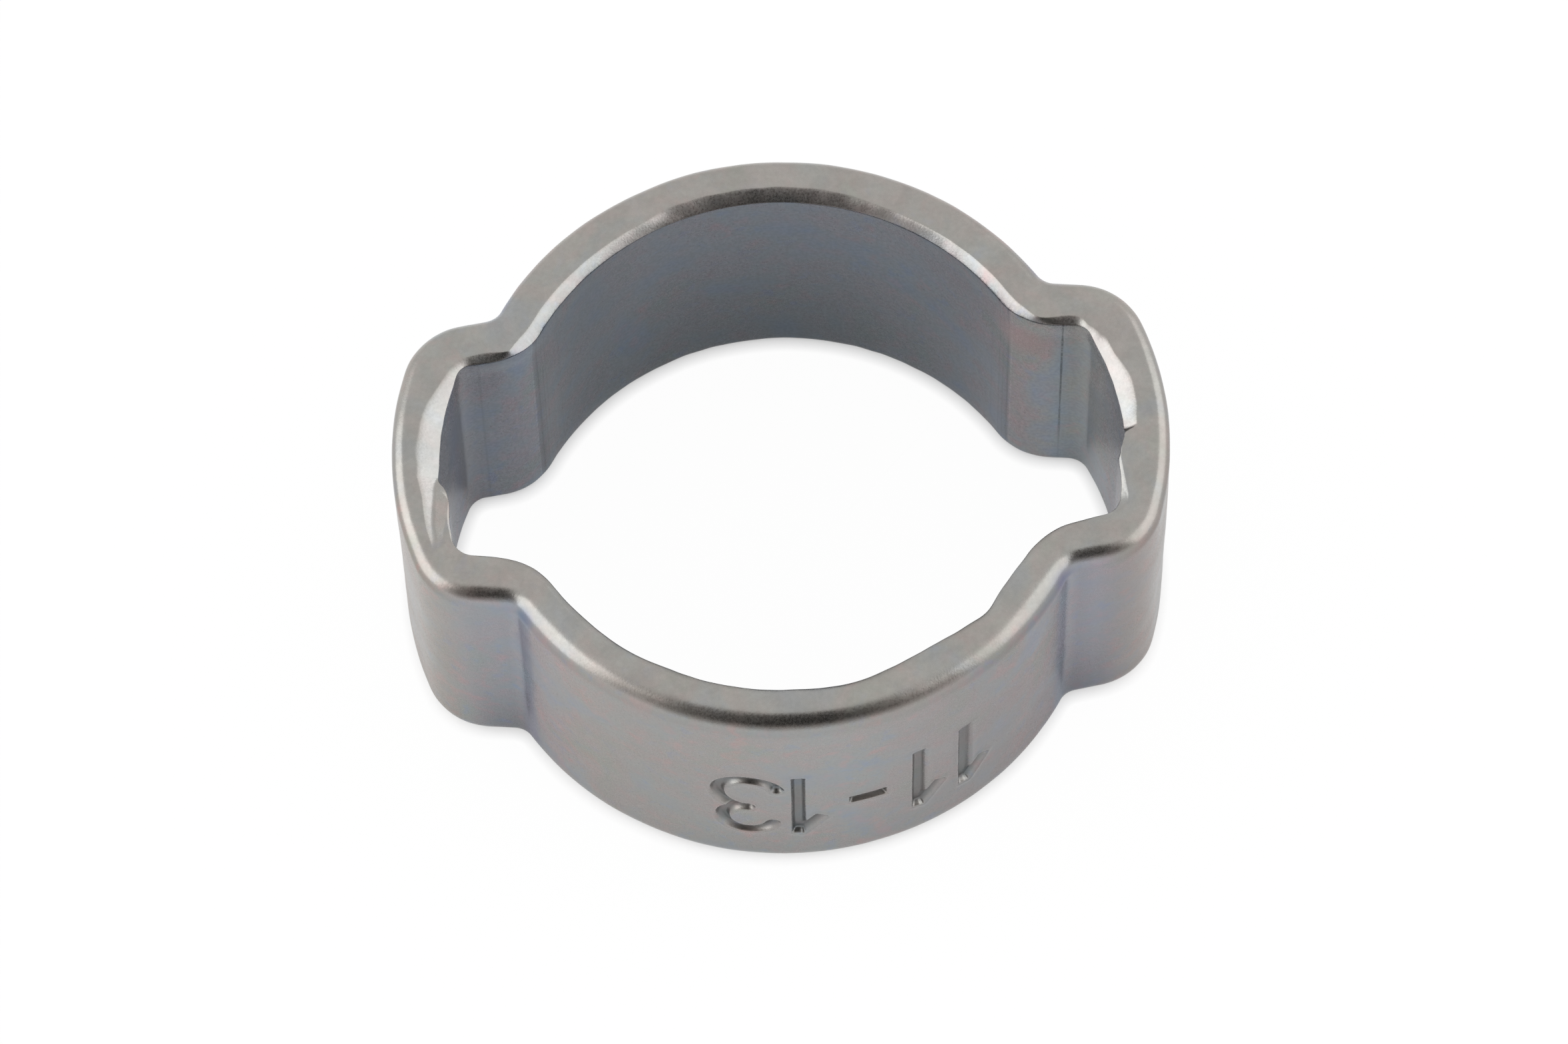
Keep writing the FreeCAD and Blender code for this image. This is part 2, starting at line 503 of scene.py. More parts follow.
def shapeRim(bm):
    # settles the rows of the front end face along the bevel's border and the outer rounding
    for vert, fall, side, depth, outwards, place in frontVerts(bm):
        beyond, away, _ = near(outsidePath, vert.co)
        rounding = follow(rim["rounding"], vert.co.y)
        if -beyond < band["outerEdge"] - touching:
            vert.co += away * beyond * (rounding / band["outerEdge"] - 1)
            vert.co.z = band["width"] - stretch(fall, band["outerEdge"], rounding, rim["reach"])
        elif fall < touching:
            across = depth - band["frontInnerEdge"]
            flat = across - beyond
            oldEnd, newEnd = flat - band["outerEdge"], flat - rounding
            border = oldEnd * rim["bevelRows"] / (meshing["frontRimRows"] + 1)
            target = rowWidth(place, side) - band["frontInnerEdge"]
            if across < border:
                moved = across * target / border
            else:
                moved = target + (across - border) * (newEnd - target) / (oldEnd - border)
            vert.co += outwards * (moved - across)


def gatherRows(bm):
    # brings the inner wall's rows closer together towards the front end
    top = band["width"] - band["frontInnerEdge"]
    low = band["rearInnerEdge"]
    spacing = meshing["frontSpacing"]
    for vert in bm.verts:
        if low < vert.co.z < top and near(insidePath, vert.co)[0] < touching:
            share = (top - vert.co.z) / (top - low)
            vert.co.z = top - (top - low) * share * (spacing + (1 - spacing) * share)


def pressRim(bm):
    # lowers the bevel and draws the lip over the inside edge
    pressed = bm.verts.layers.float.new("pressed")
    mask = press["mask"]
    for vert, fall, side, depth, outwards, place in frontVerts(bm):
        drop, clear = pressedDepth(vert.co, depth, place, side)
        vert[pressed] = (between(*mask["drop"], drop) * between(*mask["fall"], fall)
                         * between(*mask["clear"], clear))
        lip = follow(rim["lip" + side.capitalize()], place)
        width = max(bevelWidth(place, side), rim["lipSpread"] * abs(lip), press["leastWidth"])
        vert.co.z -= drop * (1 - fall / rim["reach"])
        vert.co -= outwards * lip * max(1 - depth / width, 0) * between(*rim["lipHeight"], fall)


def swayInside(bm):
    for vert in bm.verts:
        depth, outwards, place = near(insidePath, vert.co)
        vert.co += outwards * follow(sway[sideOf(vert.co)], place) * max(1 - depth / band["wall"], 0)


def inEarRim(point):
    zone = meshing["earRim"]
    low, high = zone["along"]
    if abs(point.x) < zone["across"] or not low < point.y < high:
        return False
    return point.z >= band["width"] - zone["height"] and crownDepth(point) > zone["crown"]


def inGroove(point):
    if point.x >= 0 or point.y >= -band["stepStart"]:
        return False
    return point.z > band["width"] - meshing["grooveHeight"] and inEarRim(point)


gatherRows(bandMesh)
shapeRim(bandMesh)
refine(bandMesh, inEarRim)
refine(bandMesh, inGroove)
pressRim(bandMesh)
swayInside(bandMesh)
print("front rim pressed")


# The size, in whole millimetres, struck into the front lobe upside down. Strokes are bars from
# one point to another, or arcs given by centre, radius and two angles. Angles of the places
# count from the middle of the lobe towards the right ear.
stamp = {
    "zone": {"low": 1.2, "high": 5, "front": -5},
    "margin": 1,
    "reach": 0.4,
    "halved": (0.32, 0.11),
    "places": (("1", 32.5), ("1", 23), ("dash", 11.5), ("1", 0.5), ("3", -10.5)),
    "foot": 4.62,
    "glyphWidth": 1.45,
    "stroke": 0.27,
    "depth": 0.14,
    "wallRun": 0.13,
    "mask": (-0.04, 0.05),
    "lip": 0.012,
    "lipPlace": 0.09,
    "lipReach": 0.05,
    "bars": {
        "1": (((0.95, 0), (0.95, 3)), ((0.95, 2.98), (0.4, 2.15))),
        "dash": (((0.3, 1.5), (1.15, 1.5)),),
        "3": (),
    },
    "arcs": {
        "1": (),
        "dash": (),
        "3": (((0.7, 2.24), 0.63, -90, 160), ((0.7, 0.86), 0.74, -160, 90)),
    },
}


def toBar(point, start, end):
    # signed distance to the outline of a straight stroke with square ends
    run = end - start
    length = run.length
    along = (point - start).dot(run / length) - length / 2
    across = abs(run.x * (point.y - start.y) - run.y * (point.x - start.x)) / length
    past = abs(along) - length / 2
    aside = across - stamp["stroke"] / 2
    return math.hypot(max(past, 0), max(aside, 0)) + min(max(past, aside), 0)


def toArc(point, centre, radius, low, high):
    offset = point - centre
    angle = math.degrees(math.atan2(offset.y, offset.x))
    if low <= angle <= high:
        return abs(offset.length - radius) - stamp["stroke"] / 2
    tips = [centre + radius * Vector((math.cos(math.radians(turn)), math.sin(math.radians(turn))))
            for turn in (low, high)]
    return min((point - tip).length for tip in tips) - stamp["stroke"] / 2


def toGlyph(point, name):
    found = [toBar(point, Vector(start), Vector(end)) for start, end in stamp["bars"][name]]
    found += [toArc(point, Vector(centre), *rest) for centre, *rest in stamp["arcs"][name]]
    return min(found)


def toStamp(point):
    # signed distance to the nearest stroke, on the unrolled outside of the front lobe
    best = math.inf
    if point.y > 0 or not isOutside(point):
        return best
    turn = math.degrees(math.atan2(point.x, -point.y))
    for name, place in stamp["places"]:
        across = math.radians(place - turn) * band["outerRadius"] + stamp["glyphWidth"] / 2
        if not -stamp["margin"] < across < stamp["glyphWidth"] + stamp["margin"]:
            continue
        best = min(best, toGlyph(Vector((across, stamp["foot"] - point.z)), name))
    return best


def nearStamp(reach):
    zone = stamp["zone"]

    def test(point):
        if not zone["low"] <= point.z <= zone["high"] or point.y > zone["front"]:
            return False
        return abs(toStamp(point)) < reach
    return test


def strike(bm):
    struck = bm.verts.layers.float.new("struck")
    halfRun = stamp["wallRun"] / 2
    isNear = nearStamp(stamp["reach"])
    for vert in bm.verts:
        if not isNear(vert.co):
            continue
        distance = toStamp(vert.co)
        depth = stamp["depth"] * between(-halfRun, halfRun, -distance)
        vert[struck] = between(*stamp["mask"], -distance)
        depth -= stamp["lip"] * math.exp(-((distance - stamp["lipPlace"]) / stamp["lipReach"]) ** 2)
        flat = Vector((vert.co.x, vert.co.y, 0))
        vert.co += flat.normalized() * (band["outerRadius"] - flat.length - depth)


for reach in stamp["halved"]:
    refine(bandMesh, nearStamp(reach))
strike(bandMesh)
print("size struck into the front lobe")


# Unevenness left by forming and tumbling: each wave has a length, a height, and how much more
# of it the end faces' inner edges get.
tumble = {
    "seed": Vector((31.7, 12.3, 5.1)),
    "waves": ((2.6, 0.016, 0), (0.9, 0.007, 0.6), (0.35, 0.0025, 2.5)),
}


def tumbleBand(bm):
    bm.normal_update()
    moves = []
    for vert in bm.verts:
        edgeShare = (1 - abs(2 * abs(vert.normal.z) - 1)) * (0 if isOutside(vert.co) else 1)
        push = 0
        for length, height, atEdges in tumble["waves"]:
            push += height * (1 + atEdges * edgeShare) * noise.noise(vert.co / length + tumble["seed"])
        moves.append(vert.normal * push)
    for vert, move in zip(bm.verts, moves):
        vert.co += move


tumbleBand(bandMesh)
print("open edges", sum(1 for edge in bandMesh.edges if not edge.is_manifold))
print("finished band", len(bandMesh.faces), "faces, volume", round(bandMesh.calc_volume(), 1))


# Finish of the zinc plate, with painted light and shade among its colours. Colours are linear,
# lengths in millimetres. A reach says how far an effect is full and where it ends. A swing gives
# two values of a noise and a share for each.
finishAndShade = {
    "outside": (0.272, 0.268, 0.265, 1),
    "inside": (0.243, 0.270, 0.292, 1),
    # painted shade: the inner wall darkens towards its foot
    "insideFoot": (0.165, 0.193, 0.204, 1),
    "rim": (0.324, 0.317, 0.298, 1),
    "pressed": (0.372, 0.37, 0.358, 1),
    # struck strokes: darkened as painted shade of their recesses
    "struck": (0.16, 0.165, 0.165, 1),
    # painted shadow at the foot of the outer wall beside the legs
    "footShade": {"along": 8.1, "reach": (0.4, 1.3), "height": (0, 4), "share": 0.3,
                  "colour": (0.08, 0.09, 0.1, 1)},
    "leg": {"middle": (7.3, 4.1, 0), "reach": (0.5, 1.4), "share": 1, "tint": (0.955, 1, 1.085, 1)},
    "ear": {"middle": (9.6, 1.6, 0), "reach": (1.2, 2.6), "share": 1, "tint": (1.04, 1, 0.965, 1)},
    "cloud": {"rimShare": 0.6, "tints": ((0.3, (0.93, 0.98, 1.08)), (0.45, (1, 1, 1)),
                                         (0.56, (1.07, 0.98, 0.98)), (0.68, (1, 1, 0.96)))},
    "spot": {"wallShare": 0.9, "rimShare": 0.3, "swing": (0.35, 0.65, 0.35, 1),
             "tints": ((0.3, (0.88, 0.98, 1.14)), (0.42, (0.97, 1.02, 1)), (0.56, (1, 1, 1)),
                       (0.7, (1.18, 0.97, 0.96)))},
    "besideCrease": {"along": 6.6, "reach": (0.3, 2), "share": 0.5},
    "worn": {"wornCoarse": 0.05, "wornFine": 0.025},
    # fold lines inside: darker lines are painted shade, lighter ones painted highlight
    "folds": ((-7.02, 0.05, 1.3), (-6.86, 0.05, 0.75), (-6.66, 0.035, 0.78), (-6.52, 0.04, 0.83),
              (-6.2, 0.05, 1.1), (-5.95, 0.04, 0.9), (-8.42, 0.05, 0.87), (6.6, 0.035, 0.8),
              (6.74, 0.03, 0.82), (6.9, 0.05, 0.76), (7, 0.04, 1.15), (6.3, 0.05, 0.93)),
    "foldSwing": (0.3, 0.6, 0.4, 1),
    "speckle": {"height": 0.07, "outsideShare": 0.3},
    # the creases' dark blue is the plating's tint together with painted shade in the crease
    "crease": {"along": 7.6, "reach": (0.07, 0.37), "stray": 0.05, "swing": (0.25, 0.6, 0.7, 0.92),
               "tints": ((0.35, (0.125, 0.18, 0.25)), (0.6, (0.15, 0.15, 0.225)))},
    "patch": {"middle": (6.05, 3, 6.1), "reach": (0.15, 1.15), "share": 0.75,
              "colour": (0.42, 0.30, 0.30, 1)},
    "hairline": {"along": 8.29, "reach": (0.004, 0.04), "share": 0.7, "stray": (0.2, 0.8, -0.01, 0.01),
                 "rise": (0.3, 3.5, 0.15, 1), "swing": (0.35, 0.5, 0.35, 1),
                 "colour": (0.05, 0.06, 0.07, 1)},
    "rimLean": (0.25, 0.95),
    "roughness": {"wall": 0.24, "rim": 0.27, "struck": 0.12, "cloud": (-0.02, 0.03),
                  "grain": (-0.03, 0.04)},
    "relief": {"height": 0.0016, "lines": 0.6, "hammered": 1.1},
}

# Noises of the finish: size, detail, distortion, and a shift that keeps them apart.
noises = {
    "cloud": (1.7, 3, 0.6, 0),
    "spot": (0.42, 2, 0.3, 17.3),
    "drift": (2.4, 1, 0, 41),
    "wornCoarse": (0.8, 3, 0.8, 61),
    "wornFine": (0.16, 2, 0.4, 67),
    "fine": (0.09, 2, 0, 29),
    "wobble": (0.5, 2, 0, 3),
    "stain": (1.1, 1, 0, 9),
    "grain": (0.055, 3, 0, 23),
    "lines": (0.09, 1, 0, 13),
    "hammered": (0.05, 1, 0.5, 51),
}

# Tints along the walls, by the place from the middle of a lobe, less than 0 on the left. They
# also paint light and shade: inside, the pockets are brightened as a painted reflection and other
# stretches darkened as painted shade; outside, the wall darkens on the right towards the crease as
# painted shade; the foot list gives the share of the inner wall's painted shade at its foot.
tints = {
    "reach": 12.6,
    "inside": ((-10.3, (1.42, 1.4, 1.42)), (-9.5, (1.05, 1.04, 1.22)), (-9.2, (1.12, 1.03, 1.05)),
               (-8.4, (1.02, 1, 1.04)), (-7.08, (1.1, 1.1, 1.15)), (-6.95, (0.7, 0.72, 0.77)),
               (-5, (0.74, 0.76, 0.81)), (-3.3, (0.97, 0.95, 0.99)), (3.2, (1.02, 1, 1.04)),
               (5.4, (0.9, 0.88, 0.92)), (6.9, (0.9, 0.88, 0.92)), (7, (1.28, 1.17, 1.14)),
               (8, (1.45, 1.33, 1.26)), (8.2, (1.3, 1.3, 1.28)), (8.6, (1.32, 1.22, 1.08)),
               (9.6, (1.6, 1.5, 1.42)), (10.6, (1.25, 1.15, 1.2))),
    "outside": ((-11, (0.9, 0.87, 0.83)), (-10, (0.93, 0.93, 0.89)), (-9.2, (1.02, 1.02, 1)),
                (-8.3, (1, 1.03, 1.05)), (-7.3, (0.88, 0.87, 0.92)), (-6.9, (0.93, 0.89, 0.92)),
                (-5.5, (1, 1, 0.97)), (1, (0.99, 1.01, 1.02)), (3.2, (0.93, 0.92, 0.93)),
                (5, (0.82, 0.81, 0.83)), (6.1, (0.77, 0.74, 0.76)), (7.3, (0.66, 0.66, 0.74)),
                (8, (0.91, 0.9, 0.95)), (8.6, (1, 0.98, 1.02)), (9.2, (0.95, 0.87, 0.83)),
                (10, (0.87, 0.78, 0.76)), (11, (0.77, 0.755, 0.745))),
    "foot": ((-7.1, 0.05), (-6.95, 0.35), (-5, 0.55), (-3, 0.95), (2, 0.95), (3.6, 0.75), (5, 0.35),
             (6, 0.1), (6.8, 0)),
}


def addNode(tree, kind, values=(), **settings):
    made = tree.nodes.new("ShaderNode" + kind)
    for name, value in settings.items():
        setattr(made, name, value)
    for name, value in dict(values).items():
        made.inputs[name].default_value = value
    return made


def treeOf(values):
    # the node tree of the sockets among some values
    return next(value.id_data for value in values if isinstance(value, bpy.types.NodeSocket))


def plug(sockets, *values):
    # links what is a socket, and sets what is a number or a colour
    for socket, value in zip(sockets, values):
        if isinstance(value, bpy.types.NodeSocket):
            value.id_data.links.new(value, socket)
        else:
            socket.default_value = value


def addMath(operation, *values):
    made = addNode(treeOf(values), "Math", operation=operation)
    plug(made.inputs, *values)
    return made.outputs[0]


def addTimes(*shares):
    total = shares[0]
    for share in shares[1:]:
        total = addMath("MULTIPLY", total, share)
    return total


def addRest(share):
    return addMath("SUBTRACT", 1, share)


def addGap(value, middle):
    return addMath("ABSOLUTE", addMath("SUBTRACT", value, middle))


def addRange(value, low, high, toLow=0, toHigh=1):
    # eased map from one range to another
    made = addNode(value.id_data, "MapRange", interpolation_type="SMOOTHSTEP")
    plug(made.inputs, value, low, high, toLow, toHigh)
    return made.outputs["Result"]


def addFade(distance, reach, share=1):
    return addRange(distance, *reach, share, 0)


def addSwing(noise, low, high):
    # spreads the part of a noise that it keeps to most of the time
    return addRange(noise, 0.3, 0.7, low, high)


def addMix(share, first, second, blend="MIX"):
    made = addNode(treeOf((share, first, second)), "Mix", data_type="RGBA", blend_type=blend)
    plug((made.inputs[0], made.inputs[6], made.inputs[7]), share, first, second)
    return made.outputs[2]


def addColourFactor(share, colour, tint):
    # multiplies a colour by a tint, as far as the share says
    return addMix(share, colour, addMix(1, colour, tint, "MULTIPLY"))


def addGrey(value):
    made = addNode(value.id_data, "CombineColor")
    plug(made.inputs, value, value, value)
    return made.outputs[0]


def addRamp(value, stops):
    made = addNode(value.id_data, "ValToRGB")
    ramp = made.color_ramp
    while len(ramp.elements) < len(stops):
        ramp.elements.new(0.5)
    for element, (place, colour) in zip(ramp.elements, stops):
        element.position = place
        element.color = (*colour, 1)
    plug(made.inputs, value)
    return made.outputs["Color"]


def addTints(share, stops):
    # colour ramp over the places along a wall
    return addRamp(share, [(place / tints["reach"] / 2 + 0.5, tint) for place, tint in stops])


def addNoise(place, name):
    # value noise whose features are about as large as its size
    size, detail, distortion, shift = noises[name]
    tree = place.id_data
    moved = addNode(tree, "Mapping", {"Location": (shift, 1.7 * shift, 0.6 * shift)})
    made = addNode(tree, "TexNoise", {"Scale": 1 / size, "Detail": detail, "Distortion": distortion})
    plug(moved.inputs, place)
    plug(made.inputs, moved.outputs["Vector"])
    return made.outputs["Fac"]


def addPatch(place, values):
    # full round a point, and less further away from it
    made = addNode(place.id_data, "VectorMath", operation="DISTANCE")
    plug(made.inputs, place, values["middle"])
    return addFade(made.outputs["Value"], values["reach"], values["share"])


def readPlate(tree):
    # places on the band in millimetres, its masks and its noises
    coordinates = addNode(tree, "TexCoord")
    scaled = addNode(tree, "Mapping", {"Scale": (1 / mm, 1 / mm, 1 / mm)})
    plug(scaled.inputs, coordinates.outputs["Object"])
    upright = addNode(tree, "Mapping", {"Scale": (1, 1, 0)})
    plug(upright.inputs, scaled.outputs["Vector"])
    folded = addNode(tree, "VectorMath", operation="ABSOLUTE")
    plug(folded.inputs, upright.outputs["Vector"])
    split = addNode(tree, "SeparateXYZ")
    plug(split.inputs, scaled.outputs["Vector"])
    plate = {"place": scaled.outputs["Vector"], "upright": upright.outputs["Vector"],
             "quarter": folded.outputs["Vector"], "height": split.outputs["Z"]}
    for name in ("inside", "rim", "along", "pressed", "struck"):
        plate[name] = addNode(tree, "Attribute", attribute_name=name).outputs["Fac"]
    for name in noises:
        plate[name] = addNoise(plate["upright" if name == "lines" else "place"], name)
    plate["aside"] = addMath("ABSOLUTE", plate["along"])
    plate["outside"] = addRest(plate["inside"])
    plate["wall"] = addRest(plate["rim"])
    return plate


def addBaseColour(plate):
    # walls tinted along their length, where the tints also paint light and shade, darker at the foot
    # as painted shade, then end faces and the struck number, darkened as painted shade
    share = addMath("MULTIPLY_ADD", plate["along"], 0.5 / tints["reach"], 0.5)
    # painted shade: the inner wall darkens towards its foot, as far as the foot list gives by place
    footShadeShares = addTints(share, [(place, (low, low, low)) for place, low in tints["foot"]])
    low = addTimes(addFade(plate["height"], (0, band["width"])), footShadeShares)
    insideColour = addMix(low, finishAndShade["inside"], finishAndShade["insideFoot"])
    # the inside tints also paint a reflection that brightens the pockets, and painted shade
    insideColour = addMix(1, insideColour, addTints(share, tints["inside"]), "MULTIPLY")
    # the outside tints also paint shade, darker on the right towards the crease
    colour = addMix(1, finishAndShade["outside"], addTints(share, tints["outside"]), "MULTIPLY")
    colour = addMix(plate["inside"], colour, insideColour)
    shade, leg, ear = finishAndShade["footShade"], finishAndShade["leg"], finishAndShade["ear"]
    # painted shadow at the foot of the outer wall beside the legs
    shaded = addTimes(addFade(addGap(plate["aside"], shade["along"]), shade["reach"]),
                      addFade(plate["height"], shade["height"], shade["share"]), plate["outside"])
    colour = addMix(shaded, colour, shade["colour"])
    onLeg = addTimes(addPatch(plate["quarter"], leg), plate["outside"])
    colour = addColourFactor(onLeg, colour, leg["tint"])
    colour = addColourFactor(addPatch(plate["quarter"], ear), colour, ear["tint"])
    rimColour = addMix(plate["pressed"], finishAndShade["rim"], finishAndShade["pressed"])
    colour = addMix(plate["rim"], colour, rimColour)
    # the struck strokes are darkened as painted shade of their recesses
    return addMix(plate["struck"], colour, finishAndShade["struck"])


def addClouds(plate, colour):
    # faint interference tints, stronger beside the creases, and uneven end faces
    cloud, spot, beside = finishAndShade["cloud"], finishAndShade["spot"], finishAndShade["besideCrease"]
    tint = addRamp(plate["cloud"], cloud["tints"])
    colour = addColourFactor(addRange(plate["rim"], 0, 1, 1, cloud["rimShare"]), colour, tint)
    strip = addFade(addGap(plate["aside"], beside["along"]), beside["reach"], beside["share"])
    strong = addMix(1, tint, tint, "MULTIPLY")
    colour = addColourFactor(addTimes(strip, plate["wall"]), colour, strong)
    share = addTimes(addRange(plate["rim"], 0, 1, spot["wallShare"], spot["rimShare"]),
                     addRange(plate["drift"], *spot["swing"]))
    outerWall = addRest(addMath("MAXIMUM", plate["inside"], plate["rim"]))
    share = addMath("ADD", share, addTimes(strip, outerWall))
    colour = addColourFactor(share, colour, addRamp(plate["spot"], spot["tints"]))
    bright = 1
    for name, height in finishAndShade["worn"].items():
        bright = addMath("ADD", bright, addSwing(plate[name], -height, height))
    return addColourFactor(plate["rim"], colour, addGrey(bright))


def addFolds(plate, colour):
    # fold lines along the hose beside the feet, on the inside, painted as lines of shade and
    # highlight, and fine speckle
    swing = addRange(plate["fine"], *finishAndShade["foldSwing"])
    for line, width, value in finishAndShade["folds"]:
        share = addFade(addGap(plate["along"], line), (0, width))
        share = addTimes(share, plate["inside"], swing)
        colour = addColourFactor(share, colour, (value, value, value, 1))
    height = finishAndShade["speckle"]["height"]
    speckle = addGrey(addSwing(plate["fine"], 1 - height, 1 + height))
    share = addRange(plate["inside"], 0, 1, finishAndShade["speckle"]["outsideShare"], 1)
    return addColourFactor(share, colour, speckle)


def addCreases(plate, colour):
    # creases where the lobes turn out into the ears, in the plating's blue tint darkened as painted
    # shade
    crease = finishAndShade["crease"]
    gap = addGap(plate["aside"], crease["along"])
    gap = addMath("ADD", gap, addSwing(plate["wobble"], -crease["stray"], crease["stray"]))
    share = addTimes(addFade(gap, crease["reach"]), plate["outside"], plate["wall"],
                     addRange(plate["wobble"], *crease["swing"]))
    return addMix(share, colour, addRamp(plate["stain"], crease["tints"]))


def addEarMarks(plate, colour):
    # reddish patch and dark hairline inside the right ear
    patch, hair = finishAndShade["patch"], finishAndShade["hairline"]
    share = addTimes(addPatch(plate["place"], patch), plate["inside"])
    colour = addMix(share, colour, patch["colour"])
    gap = addGap(plate["along"], hair["along"])
    gap = addMath("ADD", gap, addRange(plate["wobble"], *hair["stray"]))
    share = addTimes(addFade(gap, hair["reach"], hair["share"]), plate["inside"],
                     addRange(plate["height"], *hair["rise"]),
                     addRange(plate["fine"], *hair["swing"]))
    return addMix(share, colour, hair["colour"])


def addRoughness(plate):
    # walls a little smoother than the sheared end faces, with fine speckle
    values = finishAndShade["roughness"]
    roughness = addRange(plate["rim"], 0, 1, values["wall"], values["rim"])
    for name in ("cloud", "grain"):
        roughness = addMath("ADD", roughness, addSwing(plate[name], *values[name]))
    return addMath("MULTIPLY_ADD", plate["struck"], values["struck"], roughness)


def addRelief(plate):
    # grain everywhere, drawn lines inside, hammered on the pressed faces
    values = finishAndShade["relief"]
    lines = addTimes(plate["lines"], plate["inside"])
    relief = addMath("MULTIPLY_ADD", lines, values["lines"], plate["grain"])
    hammered = addTimes(plate["hammered"], plate["pressed"])
    relief = addMath("MULTIPLY_ADD", hammered, values["hammered"], relief)
    bump = addNode(relief.id_data, "Bump", {"Strength": 1, "Distance": values["height"] * mm})
    plug((bump.inputs["Height"],), relief)
    return bump.outputs["Normal"]


def newMaterial(name):
    material = bpy.data.materials.new(name)
    material.use_nodes = True
    return material, material.node_tree, material.node_tree.nodes["Principled BSDF"]


def zincPlate():
    material, tree, shader = newMaterial("zincPlate")
    shader.inputs["Metallic"].default_value = 1
    plate = readPlate(tree)
    colour = addBaseColour(plate)
    for addMarks in (addClouds, addFolds, addCreases, addEarMarks):
        colour = addMarks(plate, colour)
    sockets = (shader.inputs[name] for name in ("Base Color", "Roughness", "Normal"))
    plug(sockets, colour, addRoughness(plate), addRelief(plate))
    return material


def addObject(name, data):
    made = bpy.data.objects.new(name, data)
    bpy.context.scene.collection.objects.link(made)
    return made


def paintMasks(mesh):
    # share of the inner wall and of the end faces, and the place from the middle of either lobe
    masks = ("inside", "rim", "along")
    for name in masks:
        mesh.attributes.new(name, "FLOAT", "POINT")
    inside, rim, along = (mesh.attributes[name].data for name in masks)
    for vertex in mesh.vertices:
        lean = between(*finishAndShade["rimLean"], abs(vertex.normal.z))
        point = vertex.co / mm
        path = outsidePath if isOutside(point) else insidePath
        place, places = near(path, point)[2], path[2]
        half = places[path[0].find(Vector((band["earReach"], 0, 0)))[1]]
        folded = place if place < half else (places[-1] - place) * half / (places[-1] - half)
        rim[vertex.index].value = lean
        along[vertex.index].value = math.copysign(folded, point.x)
        if path is insidePath:
            inside[vertex.index].value = 1 - lean


bmesh.ops.scale(bandMesh, vec=(mm, mm, mm), verts=bandMesh.verts[:])
mesh = bpy.data.meshes.new("clampBand")
bandMesh.to_mesh(mesh)
bandMesh.free()
mesh.shade_smooth()
paintMasks(mesh)
clampBand = addObject("clampBand", mesh)
clampBand.data.materials.append(zincPlate())
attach(clampBand, "root")
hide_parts("clamp_band")
print("clamp band dressed")


# Camera, turned about the origin. Its places are in metres, lens and sensor in millimetres.
view = {
    "azimuth": -2.629,
    "elevation": 63.704,
    "roll": -1.514,
    "distance": 0.19568,
    "across": -0.0000145,
    "up": 0.0013376,
    "lens": 182.87,
    "sensor": 36,
    "nearest": 0.01,
}


def addCamera():
    camera = addObject("camera", bpy.data.cameras.new("camera"))
    camera.data.lens = view["lens"]
    camera.data.sensor_width = view["sensor"]
    camera.data.clip_start = view["nearest"]
    swing = Matrix.Rotation(math.radians(view["azimuth"]), 4, "Z")
    tilt = Matrix.Rotation(math.radians(90 - view["elevation"]), 4, "X")
    roll = Matrix.Rotation(math.radians(view["roll"]), 4, "Z")
    offset = Matrix.Translation((view["across"], view["up"], view["distance"]))
    camera.matrix_world = swing @ tilt @ roll @ offset
    bpy.context.scene.camera = camera


# Lamps are placed by the direction they shine from: degrees round from the front, and degrees up.
# The card fades by degrees at its sides and foot, and by metres in front of the part at its top.
stage = {
    "floorSize": 3,
    "floorColour": (0.9, 0.9, 0.9, 1),
    "floorRoughness": 0.9,
    "floorLift": {"seen": 0.97, "mirrored": 0.12},
    # contact: painted contact shadow, where ambient occlusion dims the floor's glow near the band
    "contact": {"reach": 0.00035, "samples": 3, "open": (0.35, 0.95), "dim": 0.4},
    "worldRadiance": 0.95,
    "lampDistance": 0.4,
    "left": {"round": -90, "up": 29, "size": (0.54, 0.44), "radiance": 1.45},
    "right": {"round": 91, "up": 33, "size": (0.66, 0.45), "radiance": 0.95},
    "card": {"up": 48, "distance": 0.15, "width": 0.42, "height": 0.38, "nearest": 0.001,
             "sides": ((-57, 0), (-52, 0.46), (-42, 0.68), (-30, 0.85), (-16, 0.98), (0, 1),
                       (16, 0.97), (30, 0.86), (44, 0.76), (49, 0)),
             "foot": (-6, 34), "top": (-0.012, 0.045), "colour": (0.02, 0.019, 0.018, 1),
             "fringe": (0.95, 0.82, 0.77, 1)},
}


def towards(roundAngle, up, distance):
    across, upwards = math.radians(roundAngle), math.radians(up)
    level = math.cos(upwards)
    way = Vector((math.sin(across) * level, -math.cos(across) * level, math.sin(upwards)))
    return way * distance


def addLamp(side):
    values = stage[side]
    lamp = bpy.data.lights.new("softbox_" + side, "AREA")
    lamp.shape = "RECTANGLE"
    lamp.size, lamp.size_y = values["size"]
    lamp.energy = values["radiance"] * math.pi * lamp.size * lamp.size_y
    holder = addObject("softbox_" + side, lamp)
    holder.location = towards(values["round"], values["up"], stage["lampDistance"])
    holder.rotation_euler = (-holder.location).to_track_quat("-Z", "Y").to_euler()
    holder.visible_camera = False


def shownRays(tree, seen=1, mirrored=1):
    # share for rays from the camera, and for those that metal or glass reflects or passes on
    rays = addNode(tree, "LightPath").outputs
    passed = addMath("MAXIMUM", rays["Is Glossy Ray"], rays["Is Transmission Ray"])
    camera = addTimes(rays["Is Camera Ray"], seen)
    return addMath("MAXIMUM", camera, addTimes(passed, mirrored))


def mixSurfaces(tree, share, first, second, output):
    mix = addNode(tree, "MixShader")
    plug(mix.inputs, share, first, second)
    tree.links.new(mix.outputs[0], tree.nodes[output].inputs["Surface"])


